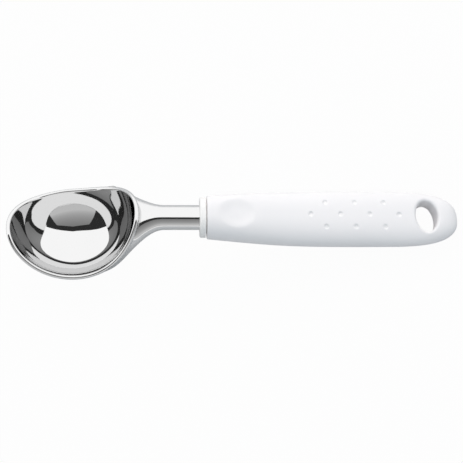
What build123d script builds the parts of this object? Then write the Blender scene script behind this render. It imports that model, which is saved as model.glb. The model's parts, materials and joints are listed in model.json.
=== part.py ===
"""Ice cream scoop: a steel bowl on a flared neck, with a two-shot moulded handle.

Everything is drawn in the tool's own frame and then laid down on the table.
Tool frame: +X runs from the bowl's tip to the handle's end, +Z points out of the bowl's mouth,
the neck's axis is the X axis, and X = 0 is the front face of the collar. Millimetres.
"""

import os
from math import cos, radians, sin

from build123d import *

# --- Bowl: a shell of egg shape, trimmed to a saddle-shaped rim -------------------------------
bowl_half_length = 31.5       # half length of the egg that the shell is pressed to, outside
bowl_half_width = 27.1        # half width of that egg, outside
bowl_half_height = 48.6       # half height of that egg, outside
bowl_power = 2.7              # fullness of the egg's side view, 2 is an ellipse
bowl_wall = 2.0               # sheet thickness, at the sides less by the egg's width over its length
bowl_centre_rise = 13.9       # height of the egg's centre above the neck's axis
rim_tip_drop = 7.2            # rim below the neck's axis one half length in front of the egg's centre
rim_side_drop = 19.0          # rim below the neck's axis at its lowest, along the sides
rim_back_rise = 6.8           # rim above the neck's axis one half length behind the egg's centre
rim_edge_radius = 0.6         # rounding of the rim's two edges
rim_low_place = -0.1          # where the rim is lowest, in half lengths behind the egg's centre
rim_front_power = 2.66        # how sharply the rim climbs to the tip
rim_back_power = 2.17         # how sharply the rim climbs to the back
rim_points = 32               # points of the rim's line
rim_cut_reach = 1.5           # the rim's cut runs past the wall by this much, each way
profile_points = 9            # points of the egg's side view
search_halvings = 40          # steps of each search by halving

# --- Neck: an oval bar that flares into a seat on the bowl's back -------------------------------
neck_width = 11.7
neck_height = 9.0
neck_spigot_diameter = 8.4    # turned down to fit the handle
neck_length = 27.15           # collar front to the egg's widest line
neck_in_handle = 9.0          # length of the turned-down spigot inside the handle
flare_start = 16.1            # collar front to the start of the flare
flare_length = 30.9           # start of the flare to its widest section, inside the bowl's outline
flare_width = 44.0
flare_top_drop = 3.6          # top of the widest section below the neck's axis
flare_bottom_drop = 26.0      # bottom of the widest section below the neck's axis
flare_top_power = 1.4         # how late the top turns down
flare_sections = 8

# --- Tang: a rod with a flat, pierced end -----------------------------------------------------
tang_diameter = 5.0
tang_drop = 0.9               # tang's axis below the neck's axis
tang_in_neck = 14.0           # length held in the neck's bore
tang_end_cover = 8.2          # plastic of the inner moulding past the tang's end
tang_flat_length = 24.0
tang_flat_width = 9.0
tang_flat_thickness = 3.0
tang_hole_diameter = 3.6
tang_hole_pitch = 11.0
tang_hole_count = 2

# --- Collar: the front flange of the handle's inner moulding ------------------------------------
collar_length = 2.8
collar_width = 18.6
collar_height = 13.8
collar_edge_radius = 0.9
collar_gap = 0.5              # open groove between the collar and the grip

# --- Grip: the outer moulding --------------------------------------------------------------------
grip_length = 116.7
grip_front_width = 20.0
grip_width = 26.8
grip_front_height = 14.4
grip_height = 12.6            # at the dimples
grip_tail_height = 10.4       # at the hang hole
grip_belly_drop = 1.8         # the grip's middle line below the neck's axis, past the belly
grip_belly_place = 42.0       # grip front to where the drop is complete
grip_widest_place = 68.0      # grip front to the widest section
grip_nose_length = 33.0       # rounded end in plan
grip_heel_length = 9.0        # rounded end in the side view
grip_front_power = 2.2        # how soon the grip widens behind its front
grip_nose_power = 2.7         # fullness of the rounded end in plan
grip_heel_power = 2.0         # fullness of the rounded end in the side view
grip_oval_power = 2.4         # 2 is an ellipse, more is squarer
grip_wall_side = 2.8
grip_wall_top = 2.2
core_end_gap = 6.0            # end of the inner moulding to the hang hole

thumb_rest_place = 13.7       # grip front to the thumb rest's centre
thumb_rest_length = 17.0
thumb_rest_depth = 1.3

dimple_diameter = 2.5
dimple_depth = 0.5
dimple_pitch = 13.65
dimple_row_spacing = 6.0
dimple_first_place = 47.4     # grip front to the first dimple of the middle row
dimple_middle_count = 4       # the two side rows have one less

hole_length = 10.2            # along the handle
hole_width = 15.2             # across the handle
hole_edge_radius = 1.6
hole_end_gap = 15.2           # hole's centre to the grip's end

grip_sections = 9
nose_sections = 9
section_points = 20
quarter_turn = 90.0           # degrees, a rounded shape from its start to its tip
section_clearance = 1.5       # least distance between the last two sections
grip_tip_share = 0.9985       # where the rounded end is closed by a small flat
rest_steps = 400              # places tried along the grip for its lowest point
steepest_rest = 45.0          # degrees

# --- Worked out from the driving dimensions ------------------------------------------------------
bowl_centre_x = -(neck_length + bowl_half_length)
grip_front = collar_length + collar_gap
grip_end = grip_front + grip_length
hole_x = grip_end - hole_end_gap
core_end = hole_x - hole_length / 2 - core_end_gap
tang_length = core_end - tang_end_cover
nose_start = grip_length - grip_nose_length
heel_start = grip_length - grip_heel_length


def blend(low, high, share):
    """Value between low and high, with a level start and a level end."""
    share = min(max(share, 0.0), 1.0)
    return low + (high - low) * share * share * (3 - 2 * share)


def round_off(share, power):
    """Size left at this share of a rounded end: 1 at its start, 0 at its tip."""
    share = min(max(share, 0.0), 1.0)
    return (1 - share**power) ** (1 / power)


# --- Shape of the grip, at a distance s behind its front face ---------------------------------
def grip_half_width(s):
    if s < grip_widest_place:
        share = 1 - s / grip_widest_place
        body = grip_width / 2 - (grip_width - grip_front_width) / 2 * share**grip_front_power
    else:
        body = grip_width / 2
    return body * round_off((s - nose_start) / grip_nose_length, grip_nose_power)


def grip_half_height(s):
    if s < grip_widest_place:
        body = blend(grip_front_height, grip_height, s / grip_widest_place) / 2
    else:
        past = (s - grip_widest_place) / (heel_start - grip_widest_place)
        body = blend(grip_height, grip_tail_height, past) / 2
    return body * round_off((s - heel_start) / grip_heel_length, grip_heel_power)


def grip_middle(s):
    return -blend(0.0, grip_belly_drop, s / grip_belly_place)


def grip_top(s, y):
    """Height of the grip's upper surface at a distance s and y across."""
    share = min(abs(y) / grip_half_width(s), 1.0)
    return grip_middle(s) + grip_half_height(s) * round_off(share, grip_oval_power)


def oval_face(x, z, half_width, half_height):
    """Rounded oval section of the handle, square to X."""
    corners = []
    for index in range(section_points):
        turn = radians(360 * index / section_points)
        across, up = cos(turn), sin(turn)
        size = (abs(across) ** grip_oval_power + abs(up) ** grip_oval_power) ** (-1 / grip_oval_power)
        corners.append((x, half_width * across * size, z + half_height * up * size))
    return make_face(Spline(*corners, periodic=True))


def handle_body(last, inset_side, inset_top):
    """Solid through the grip's sections from its front to a distance, drawn in from its surface."""
    straight = [nose_start * i / (grip_sections - 1) for i in range(grip_sections)]
    turns = [radians(quarter_turn * i / nose_sections) for i in range(1, nose_sections)]
    nose = [nose_start + grip_nose_length * sin(turn) for turn in turns]
    places = [s for s in straight + nose if s < last - section_clearance] + [last]
    sizes = [(s, grip_half_width(s) - inset_side, grip_half_height(s) - inset_top) for s in places]
    return loft([oval_face(grip_front + s, grip_middle(s), across, up) for s, across, up in sizes])


# --- Pieces ------------------------------------------------------------------------------------
def slim(piece):
    """The piece with its width in the bowl's share of its length."""
    return scale(piece, by=(1, bowl_half_width / bowl_half_length, 1))


def egg_reach(climb, inset):
    """Reach of the egg across from its axis and down from its centre, climb is 0 at its bottom."""
    across = (bowl_half_length - inset) * sin(climb) ** (2 / bowl_power)
    down = (bowl_half_height - inset) * cos(climb) ** (2 / bowl_power)
    return across, down


def egg_point(climb, heading):
    """Point of the bowl's outside, heading is 0 towards the handle."""
    across, down = egg_reach(climb, 0)
    return Vector(bowl_centre_x + across * cos(heading), across * sin(heading), bowl_centre_rise - down)


def egg_normal(climb, heading):
    """Direction square to the bowl's outside at that point."""
    across = sin(climb) ** (2 - 2 / bowl_power) / bowl_half_length
    down = cos(climb) ** (2 - 2 / bowl_power) / bowl_half_height
    return Vector(across * cos(heading), across * sin(heading), -down).normalized()


def egg(inset):
    """Lower half of the egg, standing on its round end, drawn in by the inset."""
    climbs = [radians(quarter_turn * i / (profile_points - 1)) for i in range(profile_points)]
    places = [(across, -down) for across, down in (egg_reach(climb, inset) for climb in climbs)]
    side = Spline(*places, tangents=[(1, 0), (0, 1)])
    outline = make_face(Plane.XZ * (side + Polyline(places[-1], (0, 0), places[0])))
    return Pos(bowl_centre_x, 0, bowl_centre_rise) * revolve(outline, Axis.Z)


def rim_height(place):
    """Height of the rim at a place along the bowl, in half lengths behind the egg's centre."""
    if place < rim_low_place:
        share = (rim_low_place - place) / (rim_low_place + 1)
        return (rim_side_drop - rim_tip_drop) * share**rim_front_power - rim_side_drop
    share = (place - rim_low_place) / (1 - rim_low_place)
    return (rim_side_drop + rim_back_rise) * share**rim_back_power - rim_side_drop


def rim_climb(heading):
    """How far up the egg the rim lies in one direction."""
    low, high = 0.0, radians(quarter_turn)
    for _ in range(search_halvings):
        middle = (low + high) / 2
        point = egg_point(middle, heading)
        if point.Z < rim_height((point.X - bowl_centre_x) / bowl_half_length):
            low = middle
        else:
            high = middle
    return low


def rim_cut():
    """Ribbon across the wall along the saddle-shaped rim, square to the wall all the way round."""
    headings = [radians(360 * i / rim_points) for i in range(rim_points)]
    climbs = [rim_climb(heading) for heading in headings]
    lines = []
    for offset in (rim_cut_reach, -bowl_wall - rim_cut_reach):
        points = [egg_point(a, b) + egg_normal(a, b) * offset for a, b in zip(climbs, headings)]
        lines.append(Wire([Spline(*points, periodic=True)]))
    return Shell.make_loft(lines, ruled=True)


def make_bowl():
    shell = egg(0) - egg(bowl_wall)
    bowl = shell.split(rim_cut(), keep=Keep.ALL).solids().sort_by(Axis.Z)[0]
    return slim(fillet([edge for edge in bowl.edges() if edge.length > bowl_half_width], rim_edge_radius))


def neck_face(x, top, bottom, width):
    """Oval section of the neck, square to X and facing the bowl."""
    plane = Plane(origin=(x, 0, (top + bottom) / 2), x_dir=(0, 1, 0), z_dir=(-1, 0, 0))
    return plane * Ellipse(width / 2, (top - bottom) / 2)


def make_neck():
    """Bar with a spigot, then sections that widen, deepen and drop, cut off where they meet the bowl."""
    half = neck_height / 2
    seat = collar_length / 2
    wider = bowl_half_length / bowl_half_width
    bar = extrude(neck_face(seat, half, -half, neck_width * wider), amount=seat + flare_start)
    spigot = Rot(0, 90, 0) * Cylinder(
        neck_spigot_diameter / 2, neck_in_handle, align=(Align.CENTER, Align.CENTER, Align.MIN))
    faces = []
    for index in range(flare_sections):
        share = index / (flare_sections - 1)
        top = blend(half, -flare_top_drop, share**flare_top_power)
        bottom = blend(-half, -flare_bottom_drop, share)
        width = blend(neck_width, flare_width, share)
        faces.append(neck_face(-flare_start - flare_length * share, top, bottom, width * wider))
    return slim(bar + loft(faces) - egg(0)) + spigot


def make_tang():
    rod = Pos(-(tang_in_neck - neck_in_handle), 0, -tang_drop) * Rot(0, 90, 0) * Cylinder(
        tang_diameter / 2, tang_length - tang_flat_length + tang_in_neck - neck_in_handle,
        align=(Align.CENTER, Align.CENTER, Align.MIN))
    flat = Pos(tang_length, 0, -tang_drop) * Box(
        tang_flat_length + tang_diameter / 2, tang_flat_width, tang_flat_thickness,
        align=(Align.MAX, Align.CENTER, Align.CENTER))
    flat = fillet(flat.edges().filter_by(Axis.Z), tang_flat_width / 4)
    tang = rod + flat
    for index in range(tang_hole_count):
        x = tang_length - tang_flat_width / 2 - tang_hole_pitch * index
        tang -= Pos(x, 0, 0) * Cylinder(tang_hole_diameter / 2, 2 * tang_flat_width)
    return tang


def make_core_solid():
    collar = oval_face(0, 0, collar_width / 2, collar_height / 2)
    flange = extrude(collar, amount=collar_length, dir=(1, 0, 0))
    front_edges = flange.faces().sort_by(Axis.X)[0].edges()
    flange = fillet(front_edges, collar_edge_radius)
    body = handle_body(core_end - grip_front, grip_wall_side, grip_wall_top)
    link = extrude(body.faces().sort_by(Axis.X)[0], amount=-collar_gap - collar_length / 2, dir=(1, 0, 0))
    return flange + link + body


def make_grip(core_solid):
    grip = handle_body(grip_length * grip_tip_share, 0.0, 0.0) - core_solid
    half = thumb_rest_length / 2
    ball = (half**2 + thumb_rest_depth**2) / (2 * thumb_rest_depth)
    rest_x = grip_front + thumb_rest_place
    grip -= Pos(rest_x, 0, grip_top(thumb_rest_place, 0) - thumb_rest_depth + ball) * Sphere(ball)
    half = dimple_diameter / 2
    ball = (half**2 + dimple_depth**2) / (2 * dimple_depth)
    for row in (-1, 0, 1):
        for index in range(dimple_middle_count - abs(row)):
            s = dimple_first_place + dimple_pitch * (index + abs(row) / 2)
            y = dimple_row_spacing * row
            grip -= Pos(grip_front + s, y, grip_top(s, y) - dimple_depth + ball) * Sphere(ball)
    opening = extrude(Ellipse(hole_length / 2, hole_width / 2), amount=2 * grip_height, both=True)
    before = grip.edges()
    grip -= Pos(hole_x, 0, 0) * opening
    rims = [e for e in grip.edges() - before if abs(e.center().X - hole_x) < hole_length]
    return fillet(rims, hole_edge_radius)


# --- Lying on a table: the bowl's bottom and the handle's heel touch it ---------------------------
def lowest_bowl(tilt):
    """Height of the bowl's lowest point once the tool is tilted, handle end down."""
    centre = -bowl_centre_x * sin(tilt) + bowl_centre_rise * cos(tilt)
    power = bowl_power / (bowl_power - 1)
    reach = (bowl_half_length * sin(tilt)) ** power + (bowl_half_height * cos(tilt)) ** power
    return centre - reach ** (1 / power)


def lowest_grip(tilt):
    """Height of the grip's lowest point once the tool is tilted, handle end down."""
    places = [grip_length * i / rest_steps for i in range(rest_steps)]
    return min(
        (grip_middle(s) - grip_half_height(s)) * cos(tilt) - (grip_front + s) * sin(tilt) for s in places
    )


def resting_tilt():
    """Tilt in degrees at which the bowl and the grip touch the table together."""
    low, high = 0.0, steepest_rest
    for _ in range(search_halvings):
        middle = (low + high) / 2
        if lowest_bowl(radians(middle)) < lowest_grip(radians(middle)):
            low = middle
        else:
            high = middle
    return low


def lay_down(pieces):
    """Tilts the pieces to rest on Z = 0, with the origin under the middle of their box."""
    tilted = {name: Rot(0, resting_tilt(), 0) * piece for name, piece in pieces.items()}
    boxes = [piece.bounding_box() for piece in tilted.values()]
    middle = (min(box.min.X for box in boxes) + max(box.max.X for box in boxes)) / 2
    floor = min(box.min.Z for box in boxes)
    print("resting tilt", round(resting_tilt(), 3))
    print("tool frame moved by", round(-middle, 3), round(-floor, 3))
    return {name: Pos(-middle, 0, -floor) * piece for name, piece in tilted.items()}


if __name__ == "__main__":
    os.makedirs("parts", exist_ok=True)
    bowl = make_bowl()
    tang = make_tang()
    neck = make_neck() - tang
    core_solid = make_core_solid()
    pieces = {
        "bowl": bowl,
        "neck": neck,
        "tang": tang,
        "handle_core": core_solid - neck - tang,
        "handle_grip": make_grip(core_solid),
    }
    for name, piece in lay_down(pieces).items():
        box = piece.bounding_box()
        print(name, len(piece.solids()), round(piece.volume), box.min, box.max)
        export_step(piece, f"parts/{name}.step")
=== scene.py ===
# %% [markdown]
# # Ice cream scoop
# The scoop is a polished steel bowl on a flared neck, held by a white moulded handle. The packed
# model is loaded first, as a fixed frame: nothing in it is moved. The bowl, the neck and the grip
# are then modelled finer and take the place of their CAD pieces, in metres. The handle's core and
# the tang have the right shape already, so they only get a better material.

# %% Load the fixed frame
import json
import math

import bpy
from mathutils import Matrix, Vector


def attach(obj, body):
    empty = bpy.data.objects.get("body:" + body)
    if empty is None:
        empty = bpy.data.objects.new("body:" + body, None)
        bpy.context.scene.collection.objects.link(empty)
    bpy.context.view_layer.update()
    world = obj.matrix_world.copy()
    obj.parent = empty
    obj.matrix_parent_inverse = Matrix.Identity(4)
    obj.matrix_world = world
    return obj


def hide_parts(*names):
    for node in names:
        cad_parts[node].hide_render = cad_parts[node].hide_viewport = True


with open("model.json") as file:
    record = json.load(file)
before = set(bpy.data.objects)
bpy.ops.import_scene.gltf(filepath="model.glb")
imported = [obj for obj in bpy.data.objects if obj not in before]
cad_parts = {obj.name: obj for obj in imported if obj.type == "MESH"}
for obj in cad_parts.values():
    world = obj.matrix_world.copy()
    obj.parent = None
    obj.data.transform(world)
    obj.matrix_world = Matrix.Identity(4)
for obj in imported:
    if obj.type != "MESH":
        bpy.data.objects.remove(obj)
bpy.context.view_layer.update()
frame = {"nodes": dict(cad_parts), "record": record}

# %% [markdown]
# The scoop lies on a table, so its handle slopes down to its end. That slope would get into every
# formula, so each piece is made in the scoop's own frame and laid down when it is finished. In
# that frame X runs along the neck to the handle's end, Z points out of the bowl's mouth, and X = 0
# is the collar's front. The record gives the hang hole's axis and place as it lies on the table,
# and the two together say how the scoop's own frame is turned and shifted.

# %% The scoop's own frame, and how it lies on the table
MM = 0.001
collar_length = 2.8 * MM
collar_gap = 0.5 * MM
grip_length = 116.7 * MM
grip_front = collar_length + collar_gap
grip_belly_drop = 1.8 * MM
hole_end_gap = 15.2 * MM
hole_place = grip_length - hole_end_gap

hang_hole = frame["record"]["mounts"][0]
tilt = math.atan2(hang_hole["axis"][0], hang_hole["axis"][2])
turn_down = Matrix.Rotation(tilt, 4, "Y")
hole_centre = Vector((grip_front + hole_place, 0, -grip_belly_drop))
shift = Vector(hang_hole["pos_m"]) - turn_down @ hole_centre
lay_down = Matrix.Translation(shift) @ turn_down


def in_mm(lengths):
    """Lengths in rounded millimetres, for printing."""
    return [round(length / MM, 2) for length in lengths]


print("tilt in degrees", round(math.degrees(tilt), 3), "shift in mm", in_mm(shift))

# %% [markdown]
# The camera comes before the pieces, so that each of them can be looked at as it is made. It looks
# down steeply from the near side, with the handle's end turned a little away from it. Its place
# could be typed in as six numbers. Two angles, a distance and the point that it looks at are
# easier to correct, because each of them changes the view in one way only.

# %% Camera
FRAME_PIXELS = 463
FOCAL_PIXELS = 990.0
SENSOR_WIDTH = 36.0
camera_elevation = math.radians(68)
camera_yaw = math.radians(4)
camera_distance = 450 * MM
look_at = Vector((14.5 * MM, -6.86 * MM, 0))


def add_camera():
    """Places the camera in the scoop's own frame, and lays it down with the scoop."""
    up_share, level_share = math.sin(camera_elevation), math.cos(camera_elevation)
    right = Vector((math.cos(camera_yaw), -math.sin(camera_yaw) * level_share,
                    math.sin(camera_yaw) * up_share))
    back = Vector((-math.sin(camera_yaw), -math.cos(camera_yaw) * level_share,
                   math.cos(camera_yaw) * up_share))
    up = back.cross(right)
    place = Matrix((right, up, back)).transposed().to_4x4()
    place.translation = look_at + back * camera_distance
    bpy.ops.object.camera_add()
    camera = bpy.context.active_object
    camera.matrix_world = lay_down @ place
    camera.data.sensor_width = SENSOR_WIDTH
    camera.data.lens = SENSOR_WIDTH * FOCAL_PIXELS / FRAME_PIXELS
    bpy.context.scene.camera = camera
    return camera


camera = add_camera()
print("camera in mm", in_mm(camera.location), "lens", round(camera.data.lens, 2))

# %% [markdown]
# Every piece begins and ends in the same way. It begins with nothing else selected, because an
# operator acts on all that is selected. It ends with smooth shading, laid down on the table, in
# place of its CAD piece. The object could be turned to lay it down, but a pattern on Object
# coordinates has the same place on every piece only while all the objects sit at the origin,
# unturned. So the mesh is turned inside its object.

# %% The first and the last step of a piece
SMOOTH_ANGLE = math.radians(35)


def start_piece():
    """Leaves edit mode and deselects everything, so an operator acts on the new piece alone."""
    if bpy.context.mode != "OBJECT":
        bpy.ops.object.mode_set(mode="OBJECT")
    bpy.ops.object.select_all(action="DESELECT")


def finish_piece(piece, node):
    """Lays a finished piece down on the table, in place of its CAD node."""
    start_piece()
    piece.select_set(True)
    bpy.context.view_layer.objects.active = piece
    bpy.ops.object.shade_smooth_by_angle(angle=SMOOTH_ANGLE)
    piece.data.transform(lay_down)
    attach(piece, "root")
    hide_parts(node)
    triangles = sum(len(face.vertices) - 2 for face in piece.data.polygons)
    print(piece.name, "triangles", triangles)


print("edges sharper than", round(math.degrees(SMOOTH_ANGLE)), "degrees stay sharp")

# %% [markdown]
# The bowl is sheet steel, pressed to the shape of an egg. It could be sculpted by eye from a half
# ball, but a formula is surer: the neck has to fit the bowl's back exactly, and a mirror finish
# shows every uneven place. A power of 2 would make the egg a plain ellipsoid, and a higher power
# makes its sides fuller.

# %% The bowl's egg
bowl_half_length = 31.342 * MM
bowl_half_width = 27.07 * MM
bowl_half_height = 40.482 * MM
bowl_power = 2.4
bowl_centre = Vector((-58.659 * MM, 0, 5.782 * MM))


def egg_point(climb, way, inset=0.0):
    """Point on the egg: climb is the angle up from its lowest point, way the direction round it.

    The inset is taken off each of the egg's half sizes.
    """
    reach = math.sin(climb) ** (2 / bowl_power)
    along, across = (bowl_half_length - inset) * reach, (bowl_half_width - inset) * reach
    down = (bowl_half_height - inset) * abs(math.cos(climb)) ** (2 / bowl_power)
    down = math.copysign(down, math.cos(climb))
    return bowl_centre + Vector((along * math.cos(way), across * math.sin(way), -down))


print("egg's lowest point in mm", in_mm(egg_point(0, 0)))

# %% [markdown]
# The pressed sheet is trimmed to a saddle-shaped rim: low along the sides, high at the back, with
# a lip at the tip. One bisect would give a flat rim, and this one isn't flat. So its height is a
# formula of x, with one curve from the lowest place to the tip and another from there to the back.
# Where the egg meets that height in each direction is found by halving a range again and again.

# %% The bowl's rim
HALVINGS = 40
rim_tip_drop = 8.3 * MM
rim_side_drop = 19.0 * MM
rim_back_rise = 6.01 * MM
rim_low_place = -0.1
rim_front_power = 2.486
rim_back_power = 2.174


def rim_height(x):
    """Height of the rim over the neck's axis at x."""
    place = (x - bowl_centre.x) / bowl_half_length
    if place < rim_low_place:
        share = (rim_low_place - place) / (rim_low_place + 1)
        return (rim_side_drop - rim_tip_drop) * share**rim_front_power - rim_side_drop
    share = (place - rim_low_place) / (1 - rim_low_place)
    return (rim_side_drop + rim_back_rise) * share**rim_back_power - rim_side_drop


def rim_climb(way):
    """Climb at which the egg meets the rim in one direction."""
    low, high = 0.0, math.pi / 2
    for _ in range(HALVINGS):
        middle = (low + high) / 2
        point = egg_point(middle, way)
        if point.z < rim_height(point.x):
            low = middle
        else:
            high = middle
    return low


for side, way in (("tip", math.pi), ("side", math.pi / 2), ("back", 0.0)):
    print("rim at the", side, "in mm", in_mm(egg_point(rim_climb(way), way)))

# %% [markdown]
# A ball is the start for the bowl and, later, for the cutter that fits the neck to it. A cube that
# is subdivided and rounded would have no poles, but its rings don't run level, and the rim needs
# rings that do. The ball has a radius of 1, so a vertex's place on it is already a direction, and
# two angles carry that direction over to the egg.

# %% A ball to start from
BALL_SEGMENTS = 128
BALL_RINGS = 64


def add_ball(name):
    """A ball of radius 1, whose vertices are moved onto the egg afterwards."""
    start_piece()
    bpy.ops.mesh.primitive_uv_sphere_add(segments=BALL_SEGMENTS, ring_count=BALL_RINGS, radius=1)
    ball = bpy.context.active_object
    ball.name = ball.data.name = name
    return ball


def climb_and_way(point):
    """A point on the ball, as the two angles that egg_point takes."""
    return math.acos(min(max(-point.z, -1.0), 1.0)), math.atan2(point.y, point.x)


print("balls have", BALL_SEGMENTS, "segments and", BALL_RINGS, "rings")

# %% [markdown]
# The ball's upper half is bisected away, and each vertex that is left moves onto the egg, so that
# the last ring lies on the rim. Cutting a whole egg with a boolean would be less work, but it
# leaves slivers along the cut, and they show in a mirror. Solidify then gives the sheet its
# thickness, Bevel rounds the rim's two edges, and Subdivision Surface makes the faces fine enough
# for a smooth reflection.

# %% Make the bowl
BEVEL_SEGMENTS = 4
BEVEL_ANGLE = math.radians(50)
bowl_wall = 2.0 * MM
rim_edge_radius = 0.9 * MM


def apply_modifier(piece, kind, **settings):
    """Adds a modifier with these settings to the piece, and applies it."""
    modifier = piece.modifiers.new(kind.title(), kind)
    for setting, value in settings.items():
        setattr(modifier, setting, value)
    bpy.context.view_layer.objects.active = piece
    bpy.ops.object.modifier_apply(modifier=modifier.name)


def make_bowl():
    """Half a ball on the egg's surface, made a sheet with a rounded rim."""
    bowl = add_ball("steel_bowl")
    bpy.ops.object.mode_set(mode="EDIT")
    bpy.ops.mesh.bisect(plane_co=(0, 0, 0), plane_no=(0, 0, 1), clear_outer=True)
    bpy.ops.object.mode_set(mode="OBJECT")
    for vertex in bowl.data.vertices:
        climb, way = climb_and_way(vertex.co)
        share = climb / (math.pi / 2)
        vertex.co = egg_point(share * rim_climb(way), way)
    apply_modifier(bowl, "SOLIDIFY", thickness=bowl_wall, offset=-1, use_even_offset=True)
    apply_modifier(bowl, "BEVEL", width=rim_edge_radius, segments=BEVEL_SEGMENTS,
                   limit_method="ANGLE", angle_limit=BEVEL_ANGLE)
    apply_modifier(bowl, "SUBSURF", levels=1, render_levels=1)
    return bowl


bowl = make_bowl()
finish_piece(bowl, "bowl")

# %% [markdown]
# The neck is a steel bar with an oval section, and towards the bowl it flares wide and deep. It
# could be extruded and scaled ring by ring. Instead its half width, top and bottom are each
# blended from the bar's value to the flare's, which stays smooth however many rings are used. A
# blend starts and ends level, so the flare grows out of the bar without a corner.

# %% The neck's bar and flare
neck_half_width = 5.85 * MM
neck_half_height = 4.5 * MM
flare_start = -16.1 * MM
flare_length = 30.9 * MM
flare_half_width = 22 * MM
flare_top_drop = 3.6 * MM
flare_bottom_drop = 26 * MM
flare_top_power = 1.4
flare_end = flare_start - flare_length


def clamp(share):
    """The share, kept between 0 and 1."""
    return min(max(share, 0.0), 1.0)


def blend(low, high, share):
    """Value between low and high, with a level start and a level end."""
    share = clamp(share)
    return low + (high - low) * share * share * (3 - 2 * share)


def neck_section(share):
    """Half width, top and bottom of the neck: share is 0 on the bar and 1 at the flare's end."""
    share = clamp(share)
    return (blend(neck_half_width, flare_half_width, share),
            blend(neck_half_height, -flare_top_drop, share**flare_top_power),
            blend(-neck_half_height, -flare_bottom_drop, share))


for share in (0.0, 0.5, 1.0):
    print("neck's half width, top and bottom in mm", in_mm(neck_section(share)))

# %% [markdown]
# The neck is welded to the bowl, and the weld is polished away: near the bowl the neck's skin
# swings out and meets the bowl's back in a hollow curve. A bevel along the joint would do that
# with one radius all round and leave uneven faces in a mirror. Here each point of the skin is set
# to a new distance from the egg, which shrinks softly to nothing. At the flare's end the skin has
# sunk a little way into the bowl's wall, where it is hidden.

# %% The hollow curve onto the bowl
seat_blend = 1.5 * MM
fade_length = 11 * MM
fade_sink = 0.3 * MM


def egg_distance(point):
    """Distance from the bowl's outside, negative inside it, and the way outwards."""
    local = point - bowl_centre
    along, across = local.x / bowl_half_length, local.y / bowl_half_width
    level, upright = math.hypot(along, across), abs(local.z) / bowl_half_height
    size = (level**bowl_power + upright**bowl_power) ** (1 / bowl_power)
    slope = (level / size) ** (bowl_power - 1) / level
    drop = (upright / size) ** (bowl_power - 1) / bowl_half_height
    outward = Vector((slope * along / bowl_half_length, slope * across / bowl_half_width,
                      math.copysign(drop, local.z)))
    return (size - 1) / outward.length, outward.normalized()


def eased(gap):
    """Distance that is kept from the bowl, for a skin that would have this gap to it."""
    if gap > seat_blend:
        return gap
    if gap > -seat_blend:
        return (gap + seat_blend) ** 2 / (4 * seat_blend)
    return gap + seat_blend


def neck_point(x, turn):
    """Point of the neck's skin, at x along the neck and a turn round it."""
    across, top, bottom = neck_section((flare_start - x) / flare_length)
    middle, half_height = (top + bottom) / 2, (top - bottom) / 2
    point = Vector((x, across * math.cos(turn), middle + half_height * math.sin(turn)))
    gap, outward = egg_distance(point)
    kept = eased(gap)
    fade = blend(0, 1, (x - flare_end) / fade_length)
    if kept > 0:
        kept *= fade
    return point + outward * (kept - fade_sink * (1 - fade) - gap)


for turn in (math.pi / 2, 0.0, -math.pi / 2):
    print("neck's skin at the flare's end in mm", in_mm(neck_point(flare_end, turn)))

# %% [markdown]
# The neck and the grip are both tubes whose section changes. A curve with a bevel can make a tube
# wider and narrower but can't change the form of its section. So each of them starts as a flat
# grid and is rolled up: one side of the grid runs along the piece, and the other goes round it.
# The seam where the grid meets itself is merged, and the two open ends are filled.

# %% Roll a grid into a tube
MERGE_DISTANCE = 0.0005 * MM


def even(first, last, count):
    """Evenly spaced values, both ends among them."""
    return [first + (last - first) * i / (count - 1) for i in range(count)]


def full_turn(count):
    """Directions round a section, in radians."""
    return [2 * math.pi * i / count for i in range(count)]


def rolled(name, stations, turns, place):
    """A closed tube: place(station, turn) is its point at a station along and a turn round."""
    start_piece()
    rows, columns = len(stations) - 1, len(turns)
    bpy.ops.mesh.primitive_grid_add(x_subdivisions=rows, y_subdivisions=columns, size=2)
    piece = bpy.context.active_object
    piece.name = piece.data.name = name
    for vertex in piece.data.vertices:
        row = round((vertex.co.x + 1) / 2 * rows)
        column = round((vertex.co.y + 1) / 2 * columns) % columns
        vertex.co = place(stations[row], turns[column])
    bpy.ops.object.mode_set(mode="EDIT")
    bpy.ops.mesh.select_all(action="SELECT")
    bpy.ops.mesh.remove_doubles(threshold=MERGE_DISTANCE)
    bpy.ops.mesh.select_all(action="DESELECT")
    bpy.ops.mesh.select_non_manifold(extend=False, use_verts=False)
    bpy.ops.mesh.edge_face_add()
    bpy.ops.mesh.select_all(action="SELECT")
    bpy.ops.mesh.normals_make_consistent(inside=False)
    bpy.ops.object.mode_set(mode="OBJECT")
    print(name, "is rolled from", len(stations), "sections of", columns, "points")
    return piece


print("points closer than", MERGE_DISTANCE / MM, "mm are merged")

# %% [markdown]
# The neck's sections start inside the collar, where they are hidden. The rolled neck still fills
# a part of the bowl, so the egg is cut out of it with a boolean. A second ball, moved onto the
# egg, is the cutter. It is a tenth of a millimetre smaller than the bowl, so that the neck
# reaches into the bowl's wall and no gap opens between them.

# %% Make the neck
BAR_SECTIONS = 12
FLARE_SECTIONS = 80
NECK_TURNS = full_turn(144)
neck_end = collar_length / 2
seat_sink = 0.1 * MM


def cut_away(piece, cutter):
    """Takes the cutter's space out of the piece, and removes the cutter."""
    apply_modifier(piece, "BOOLEAN", object=cutter, operation="DIFFERENCE", solver="EXACT")
    bpy.data.objects.remove(cutter)


def make_neck():
    """The bar and its flare in one tube, with the bowl's egg cut out of it."""
    bar = even(neck_end, flare_start, BAR_SECTIONS)
    flare = even(flare_start, flare_end, FLARE_SECTIONS)
    neck = rolled("steel_neck", bar + flare[1:], NECK_TURNS, neck_point)
    egg = add_ball("egg_cutter")
    for vertex in egg.data.vertices:
        climb, way = climb_and_way(vertex.co)
        vertex.co = egg_point(climb, way, seat_sink)
    cut_away(neck, egg)
    return neck


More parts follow.
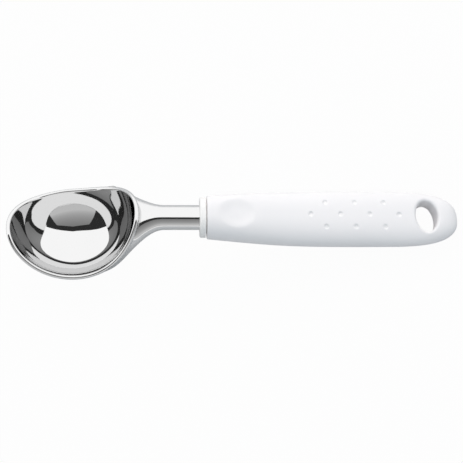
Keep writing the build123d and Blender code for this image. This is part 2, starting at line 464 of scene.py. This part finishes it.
neck = make_neck()
finish_piece(neck, "neck")

# %% [markdown]
# The grip is moulded in white plastic. Its section is a rounded oval that widens from the collar,
# thins towards the tail and ends in a full round nose. A box under a Subdivision Surface comes
# near such a form, but its widths are then hard to hold. Here the grip's middle line, half width
# and half height are formulas of s, the distance behind its front.

# %% The grip's outline
grip_front_half_width = 10.0 * MM
grip_half_width = 13.4 * MM
grip_front_half_height = 7.2 * MM
grip_half_height = 6.3 * MM
grip_tail_half_height = 5.2 * MM
grip_belly_place = 42.0 * MM
grip_widest_place = 68.0 * MM
grip_front_power = 2.2
nose_length = 33.0 * MM
nose_power = 2.7
nose_start = grip_length - nose_length
heel_length = 9.0 * MM
heel_power = 2.0
heel_start = grip_length - heel_length


def round_off(share, power):
    """Size left at this share of a rounded end: 1 at its start, 0 at its tip."""
    return (1 - clamp(share) ** power) ** (1 / power)


def grip_middle(s):
    """Height of the grip's middle line: it drops from the front to the belly."""
    return -blend(0, grip_belly_drop, s / grip_belly_place)


def grip_across(s):
    """Half width of the grip."""
    narrowing = clamp(1 - s / grip_widest_place) ** grip_front_power
    body = grip_half_width - (grip_half_width - grip_front_half_width) * narrowing
    return body * round_off((s - nose_start) / nose_length, nose_power)


def grip_up(s):
    """Half height of the grip."""
    body = blend(grip_front_half_height, grip_half_height, s / grip_widest_place)
    past = (s - grip_widest_place) / (heel_start - grip_widest_place)
    body = blend(body, grip_tail_half_height, past)
    return body * round_off((s - heel_start) / heel_length, heel_power)


for s in (0.0, grip_widest_place, hole_place):
    print("grip's s, half width and half height in mm", in_mm([s, grip_across(s), grip_up(s)]))

# %% [markdown]
# The grip's upper side has a shallow rest for the thumb and ten small round dimples, so that it
# doesn't turn in a wet hand: four dimples along the middle and three on either side, half a pitch
# further on. They could be cut out with balls, but a cut leaves a sharp edge, and moulded plastic
# has none. So they are a depth that is taken off the surface, and it fades to nothing at the edge.

# %% The thumb rest and the dimples
rest_place = 13.7 * MM
rest_half_length = 9.2 * MM
rest_half_width = 7.6 * MM
rest_depth = 1.2 * MM
rest_floor_power, rest_edge_power = 3.2, 2
dimple_radius = 1.25 * MM
dimple_depth = 0.5 * MM
dimple_floor_power, dimple_edge_power = 4, 1.5
dimple_pitch = 13.65 * MM
dimple_row_spacing = 6.0 * MM
dimple_first_place = 47.4 * MM
MIDDLE_ROW_COUNT = 4
dimples = [
    (dimple_first_place + dimple_pitch * (index + abs(row) / 2), dimple_row_spacing * row)
    for row in (-1, 0, 1) for index in range(MIDDLE_ROW_COUNT - abs(row))
]


def hollow(share, floor_power, edge_power):
    """Share of a hollow's full depth: 1 in its middle, and 0 from its edge on."""
    return (1 - clamp(share) ** floor_power) ** edge_power


def pressed_in(s, y):
    """Depth of the thumb rest and the dimples at s along the grip and y across it."""
    share = math.hypot((s - rest_place) / rest_half_length, y / rest_half_width)
    depth = rest_depth * hollow(share, rest_floor_power, rest_edge_power)
    for centre, row in dimples:
        share = math.hypot(s - centre, y - row) / dimple_radius
        depth += dimple_depth * hollow(share, dimple_floor_power, dimple_edge_power)
    return depth


print("dimples", len(dimples), "the last one at", in_mm(max(dimples)))

# %% [markdown]
# Each section of the grip is a rounded oval, and its power makes the corners fuller than those of
# an ellipse. The front edge is rounded by drawing the first sections in, along a quarter circle.
# A Bevel modifier could round it later, but this way the faces on the rounding are as even as the
# rest of the grid. The thumb rest and the dimples are taken off the upper side only.

# %% The grip's skin
oval_power = 2.4
front_edge_radius = 0.5 * MM


def grip_point(s, turn):
    """Point of the grip's skin, at s along the grip and a turn round it."""
    across, up = math.cos(turn), math.sin(turn)
    size = (abs(across) ** oval_power + abs(up) ** oval_power) ** (-1 / oval_power)
    edge = front_edge_radius
    drawn_in = edge - math.sqrt(edge**2 - (edge - s) ** 2) if s < edge else 0.0
    y = (grip_across(s) - drawn_in) * across * size
    z = (grip_up(s) - drawn_in) * up * size
    depth = pressed_in(s, y) if z > 0 else 0.0
    return Vector((grip_front + s, y, grip_middle(s) + z - depth))


print("top of the grip over the thumb rest in mm", in_mm(grip_point(rest_place, math.pi / 2)))

# %% [markdown]
# The grip is rolled from a grid as the neck was. A dimple is only 2.5 mm across and needs many
# small faces, but the rest of the grip needs few. So the sections are closest along the dimples,
# at the front edge and at the nose, and the directions round a section are closest on its upper
# side. Subdividing the whole grip as finely would give many times the faces for the same look.

# %% Make the grip
EDGE_SECTIONS = 4
FRONT_SECTIONS = 60
DIMPLE_SECTIONS = 180
TAIL_SECTIONS = 24
NOSE_SECTIONS = 26
UPPER_TURNS = 72
LOWER_TURNS = 90
UPPER_SIDE_START = math.radians(52)
dimples_start = dimple_first_place - 2 * MM
dimples_end = dimple_first_place + 3.3 * dimple_pitch


def quarter_turn(count):
    """Angles from nothing up to a right angle, which isn't among them, in radians."""
    return [math.radians(90 * i / count) for i in range(count)]


def grip_stations():
    """Places of the grip's sections, from its front to its nose."""
    edge = [front_edge_radius * (1 - math.cos(angle)) for angle in quarter_turn(EDGE_SECTIONS)]
    front = even(front_edge_radius, dimples_start, FRONT_SECTIONS)
    middle = even(dimples_start, dimples_end, DIMPLE_SECTIONS)
    tail = even(dimples_end, heel_start, TAIL_SECTIONS)
    nose = [heel_start + heel_length * math.sin(angle) for angle in quarter_turn(NOSE_SECTIONS)]
    return edge + front + middle[1:] + tail[1:] + nose[1:]


def grip_turns():
    """Directions round the grip's sections, in radians."""
    upper_end = math.pi - UPPER_SIDE_START
    upper = even(UPPER_SIDE_START, upper_end, UPPER_TURNS)
    lower = even(upper_end, 2 * math.pi + UPPER_SIDE_START, LOWER_TURNS)
    return upper + lower[1:-1]


grip = rolled("moulded_grip", grip_stations(), grip_turns(), grip_point)

# %% [markdown]
# The hang hole is an oval near the grip's end, with well rounded edges. A straight cutter would
# leave those edges sharp, and the grip's top isn't flat, so a bevel would come out uneven. The
# cutter is a spool instead: an oval barrel that flares out at both ends, to just under the grip's
# own surface. One cut then leaves the hole and its rounding.

# %% Cut the hang hole
hole_half_length = 5.1 * MM
hole_half_width = 7.6 * MM
hole_edge_radius = 1.6 * MM
HOLE_TURNS = full_turn(96)
SPOOL_STEPS = 9
SPOOL_FLARE = math.radians(86)
SPOOL_REACH = 20 * MM


def spool_rings():
    """Rings of the cutter from bottom to top, as (angle of its flare, side of the grip)."""
    flare = even(0.0, SPOOL_FLARE, SPOOL_STEPS)
    lower = [(angle, -1) for angle in reversed(flare)]
    upper = [(angle, 1) for angle in flare]
    return [(None, -1)] + lower + upper + [(None, 1)]


def spool_point(ring, turn):
    """Point of the cutter: a ring with no angle is an end of it, clear of the grip."""
    angle, side = ring
    spread = hole_edge_radius * (1 - math.cos(SPOOL_FLARE if angle is None else angle))
    s = hole_place + (hole_half_length + spread) * math.cos(turn)
    y = (hole_half_width + spread) * math.sin(turn)
    surface = grip_up(s) * round_off(abs(y) / grip_across(s), oval_power)
    rise = SPOOL_REACH if angle is None else surface - hole_edge_radius * (1 - math.sin(angle))
    return Vector((grip_front + s, y, grip_middle(s) + side * rise))


cut_away(grip, rolled("hole_spool", spool_rings(), HOLE_TURNS, spool_point))
finish_piece(grip, "handle_grip")

# %% [markdown]
# The finishes are built from nodes. A real surface is never quite one colour or one roughness.
# That could be painted on, but then the mesh would have to be unwrapped first. Noise on Object
# coordinates needs no unwrapping, and it has the same scale on every piece. Every finish here
# starts from Blender's own main shader and a noise or two.

# %% A material and its noise
def new_material(name):
    """A new material, with its nodes, its links and its main shader."""
    material = bpy.data.materials.new(name)
    material.use_nodes = True
    nodes = material.node_tree.nodes
    return material, nodes, material.node_tree.links, nodes["Principled BSDF"]


def noise(nodes, links, scale, detail, stretch=(1, 1, 1)):
    """Noise on object coordinates, with a stretch along each axis."""
    place = nodes.new("ShaderNodeTexCoord")
    mapping = nodes.new("ShaderNodeMapping")
    mapping.inputs["Scale"].default_value = stretch
    texture = nodes.new("ShaderNodeTexNoise")
    texture.inputs["Scale"].default_value = scale
    texture.inputs["Detail"].default_value = detail
    links.new(place.outputs["Object"], mapping.inputs["Vector"])
    links.new(mapping.outputs["Vector"], texture.inputs["Vector"])
    return texture.outputs["Fac"]


def paint(piece, material):
    """Gives the piece one material all over."""
    piece.data.materials.clear()
    piece.data.materials.append(material)
    print(piece.name, "is painted with", material.name)


print("materials that came with the frame", sorted(bpy.data.materials.keys()))

# %% [markdown]
# One soft noise, the cloud, changes a finish's colour and roughness together, as handling and
# cleaning do on a real surface. A finer noise makes the bump. The fine marks could be modelled,
# but they are far smaller than a face of the mesh, and a bump bends the light as they would.
# Most of a noise lies near its middle, so only that range is spread over the roughness.

# %% Colour, roughness and bump from noise
NOISE_LOW, NOISE_HIGH = 0.3, 0.7


def map_range(nodes, links, value, settings):
    """Value spread from one range to another: the settings are the node's own."""
    spread = nodes.new("ShaderNodeMapRange")
    for setting, number in settings.items():
        spread.inputs[setting].default_value = number
    links.new(value, spread.inputs["Value"])
    return spread.outputs["Result"]


def vary_roughness(nodes, links, shader, cloud, roughness, smoothest, roughest):
    """Roughness that follows the cloud, between two shares of its middle value."""
    settings = {"From Min": NOISE_LOW, "From Max": NOISE_HIGH,
                "To Min": roughness * smoothest, "To Max": roughness * roughest}
    links.new(map_range(nodes, links, cloud, settings), shader.inputs["Roughness"])


def add_bump(nodes, links, shader, height, distance, strength):
    """Small raised marks that follow a noise: the distance is their height in metres."""
    bump = nodes.new("ShaderNodeBump")
    bump.inputs["Distance"].default_value = distance
    bump.inputs["Strength"].default_value = strength
    links.new(height, bump.inputs["Height"])
    links.new(bump.outputs["Normal"], shader.inputs["Normal"])


def mix_colours(nodes, links, factor, first, second):
    """The first colour where the factor is 0, the second where it is 1."""
    mix = nodes.new("ShaderNodeMix")
    mix.data_type = "RGBA"
    mix.inputs["A"].default_value = (*first, 1)
    mix.inputs["B"].default_value = (*second, 1)
    links.new(factor, mix.inputs["Factor"])
    return mix.outputs["Result"]


print("the cloud is used from", NOISE_LOW, "to", NOISE_HIGH)

# %% [markdown]
# Polished steel is a mirror with fine marks of the polishing wheel. A perfect mirror would look
# like glass. So a noise that is stretched along the scoop, with a bump of two thousandths of a
# millimetre, breaks the reflections up a little. The neck is polished a shade less than the bowl,
# and the tang inside the handle isn't polished at all, so it is much rougher.

# %% Polished steel
steel_tint = (0.76, 0.76, 0.762)
bright_steel_tint = (0.785, 0.785, 0.785)


def polished_steel(name, roughness):
    """Metal with a soft cloud in its tint and roughness, and marks along the scoop."""
    material, nodes, links, shader = new_material(name)
    shader.inputs["Metallic"].default_value = 1.0
    cloud = noise(nodes, links, scale=60, detail=4)
    tint = mix_colours(nodes, links, cloud, steel_tint, bright_steel_tint)
    links.new(tint, shader.inputs["Base Color"])
    vary_roughness(nodes, links, shader, cloud, roughness, smoothest=0.7, roughest=1.4)
    marks = noise(nodes, links, scale=900, detail=3, stretch=(0.15, 1, 1))
    add_bump(nodes, links, shader, marks, distance=0.002 * MM, strength=0.5)
    return material


paint(bowl, polished_steel("bowl_polish", roughness=0.035))
paint(neck, polished_steel("neck_polish", roughness=0.045))
paint(frame["nodes"]["tang"], polished_steel("dull_tang_steel", roughness=0.3))

# %% [markdown]
# The grip and the collar are plastic with a satin finish, as a mould with a fine grain leaves it.
# The grip is white, and the core, which shows as the collar, is a warmer off-white. A low
# roughness with a coat would look like enamel. A middle roughness and a very fine bump spread the
# highlights softly, as the real grain does.

# %% White and off-white plastic
grip_white, grip_shade = (0.925, 0.905, 0.905), (0.91, 0.89, 0.89)
core_white, core_shade = (0.97, 0.95, 0.925), (0.95, 0.93, 0.905)


def satin_plastic(name, colour, shade, roughness):
    """Plastic whose colour drifts a little towards its shade, with a moulded grain."""
    material, nodes, links, shader = new_material(name)
    cloud = noise(nodes, links, scale=35, detail=3)
    links.new(mix_colours(nodes, links, cloud, colour, shade), shader.inputs["Base Color"])
    vary_roughness(nodes, links, shader, cloud, roughness, smoothest=0.9, roughest=1.1)
    grain = noise(nodes, links, scale=2600, detail=2)
    add_bump(nodes, links, shader, grain, distance=0.01 * MM, strength=0.4)
    return material


paint(grip, satin_plastic("white_moulding", grip_white, grip_shade, roughness=0.42))
paint(frame["nodes"]["handle_core"],
      satin_plastic("off_white_moulding", core_white, core_shade, roughness=0.35))

# %% [markdown]
# The scoop lies on a white table. More light would make the table whiter, but it would wash out
# the scoop as well. So the table's white comes from Light Path: to the camera it glows, with a
# little of its lit surface mixed in for the scoop's shadow. To everything else it is a plain grey.

# %% The table
TABLE_SIZE = 6.0
table_glow = 0.965
table_grey = (0.62, 0.62, 0.62)
table_roughness = 0.9


def add_glow(nodes):
    """An emission of white light, with a strength of 1."""
    glow = nodes.new("ShaderNodeEmission")
    glow.inputs["Color"].default_value = (1, 1, 1, 1)
    return glow


def white_table():
    """White to the camera, and a plain grey to everything else."""
    material, nodes, links, shader = new_material("white_table")
    shader.inputs["Base Color"].default_value = (*table_grey, 1)
    shader.inputs["Roughness"].default_value = table_roughness
    path = nodes.new("ShaderNodeLightPath")
    share = nodes.new("ShaderNodeMath")
    share.operation = "MULTIPLY"
    share.inputs[1].default_value = table_glow
    mix = nodes.new("ShaderNodeMixShader")
    links.new(path.outputs["Is Camera Ray"], share.inputs[0])
    links.new(share.outputs["Value"], mix.inputs["Fac"])
    links.new(shader.outputs["BSDF"], mix.inputs[1])
    links.new(add_glow(nodes).outputs["Emission"], mix.inputs[2])
    links.new(mix.outputs["Shader"], nodes["Material Output"].inputs["Surface"])
    return material


start_piece()
bpy.ops.mesh.primitive_plane_add(size=TABLE_SIZE)
table = bpy.context.active_object
table.name = "table"
paint(table, white_table())

# %% [markdown]
# A polished thing is best shown in a white tent, which lights it evenly and gives it something
# white to reflect. The tent could be a big sphere with a material, but the world does the same
# without a mesh. The camera and the polished steel see it white. Everything else gets a weaker
# and cooler fill from it, so that the white plastic keeps its shading.

# %% The tent
tent_fill = 0.66
tent_tint = (0.865, 0.94, 1.0)


def light_tent():
    """White to the camera and to mirrors, and a cooler, weaker fill for everything else."""
    world = bpy.data.worlds.new("white_tent")
    world.use_nodes = True
    nodes, links = world.node_tree.nodes, world.node_tree.links
    path = nodes.new("ShaderNodeLightPath")
    direct = nodes.new("ShaderNodeMath")
    direct.operation = "MAXIMUM"
    links.new(path.outputs["Is Camera Ray"], direct.inputs[0])
    links.new(path.outputs["Is Glossy Ray"], direct.inputs[1])
    shade = tuple(tent_fill * channel for channel in tent_tint)
    links.new(mix_colours(nodes, links, direct.outputs["Value"], shade, (1, 1, 1)),
              nodes["Background"].inputs["Color"])
    bpy.context.scene.world = world


light_tent()
print("world", bpy.context.scene.world.name)

# %% [markdown]
# The tent alone would leave the handle without form. One big soft lamp behind the scoop gives it
# a light side and a dark side, and its colour is a little warm against the cool tent. A sun would
# cast hard shadows, so it is an area lamp. Mirrors don't see it, because a lamp in the polished
# bowl would be one bright square.

# %% The lamp
lamp_place = (-0.1, 1.0, 0.95)
lamp_size = 1.2
lamp_power = 11.9
lamp_colour = (1.0, 0.93, 0.89)


def add_lamp(name):
    """A square soft light that points at the scoop."""
    start_piece()
    bpy.ops.object.light_add(type="AREA", location=lamp_place)
    lamp = bpy.context.active_object
    lamp.name = lamp.data.name = name
    lamp.rotation_euler = Vector(lamp_place).to_track_quat("Z", "Y").to_euler()
    lamp.data.size = lamp_size
    lamp.data.energy = lamp_power
    lamp.data.color = lamp_colour
    lamp.visible_glossy = False
    return lamp


lamp = add_lamp("soft_light")
print(lamp.name, "of", round(lamp.data.energy, 2), "W at", in_mm(lamp.location), "mm")

# %% [markdown]
# A mirror shows what is round it, so boards are hung over the scoop for it to reflect. In a studio
# they are lit card, and the light falls off along them. Lamps would do that here too, but they
# would light the scoop as well. So each board glows by itself, and its glow can change evenly
# from the side near the viewer to the far side.

# %% The glow of a board
GLOW_NEAR = 2.0
GLOW_FAR = 0.25


def ramp_glow(name, near_glow, far_glow):
    """A glow that changes from GLOW_NEAR metres towards the viewer to GLOW_FAR metres."""
    material, nodes, links, _ = new_material(name)
    place = nodes.new("ShaderNodeTexCoord")
    split = nodes.new("ShaderNodeSeparateXYZ")
    links.new(place.outputs["Object"], split.inputs["Vector"])
    settings = {"From Min": -GLOW_NEAR, "From Max": -GLOW_FAR,
                "To Min": near_glow, "To Max": far_glow}
    strength = map_range(nodes, links, split.outputs["Y"], settings)
    glow = add_glow(nodes)
    links.new(strength, glow.inputs["Strength"])
    links.new(glow.outputs["Emission"], nodes["Material Output"].inputs["Surface"])
    return material


print("boards change their glow over", GLOW_NEAR - GLOW_FAR, "m")

# %% [markdown]
# There are three boards: a big white one, the soft box, over the whole scoop, a dark one that
# hides most of its near half, and a grey one a little under the dark one. Only mirrors see them.
# A map wrapped round the world could do the same, but a board has a place of its own, so its
# reflection moves over the bowl as a real one does. The boards hang level. Their corners are
# given as shares of their height: x to the right, and the distance towards the viewer.

# %% The boards over the scoop
def add_board(name, height, near_edge, far_edge, near_glow, far_glow):
    """A level board: each edge has three corners from left to right, as shares of its height."""
    start_piece()
    bpy.ops.mesh.primitive_grid_add(x_subdivisions=2, y_subdivisions=1, size=2)
    board = bpy.context.active_object
    board.name = name
    for vertex in board.data.vertices:
        edge = near_edge if vertex.co.y < 0 else far_edge
        x, near = edge[round(vertex.co.x + 1)]
        vertex.co = Vector((x, -near, 1)) * height
    paint(board, ramp_glow(name, near_glow, far_glow))
    board.visible_camera = False
    board.visible_diffuse = False
    board.visible_shadow = False


add_board("soft_box", height=1.05, near_glow=1.18, far_glow=1.18,
          near_edge=[(-7, 1.2), (0, 1.2), (7, 1.2)],
          far_edge=[(-7, -6), (0, -6), (7, -6)])
add_board("dark_board", height=1.0, near_glow=0.03, far_glow=0.03,
          near_edge=[(-6.5, 6), (0, 6), (7, 6)],
          far_edge=[(-1.6, 0.33), (0.07, 0.03), (1.6, 0.48)])
add_board("grey_board", height=0.98, near_glow=0.62, far_glow=0.23,
          near_edge=[(-4.6, 5.9), (0, 5.9), (5.6, 5.9)],
          far_edge=[(-0.43, 0.4), (0.07, 0.27), (0.69, 0.46)])

# %% [markdown]
# The colours are shown as they are, with no film curve.

# %% Finish
bpy.context.scene.view_settings.view_transform = "Standard"
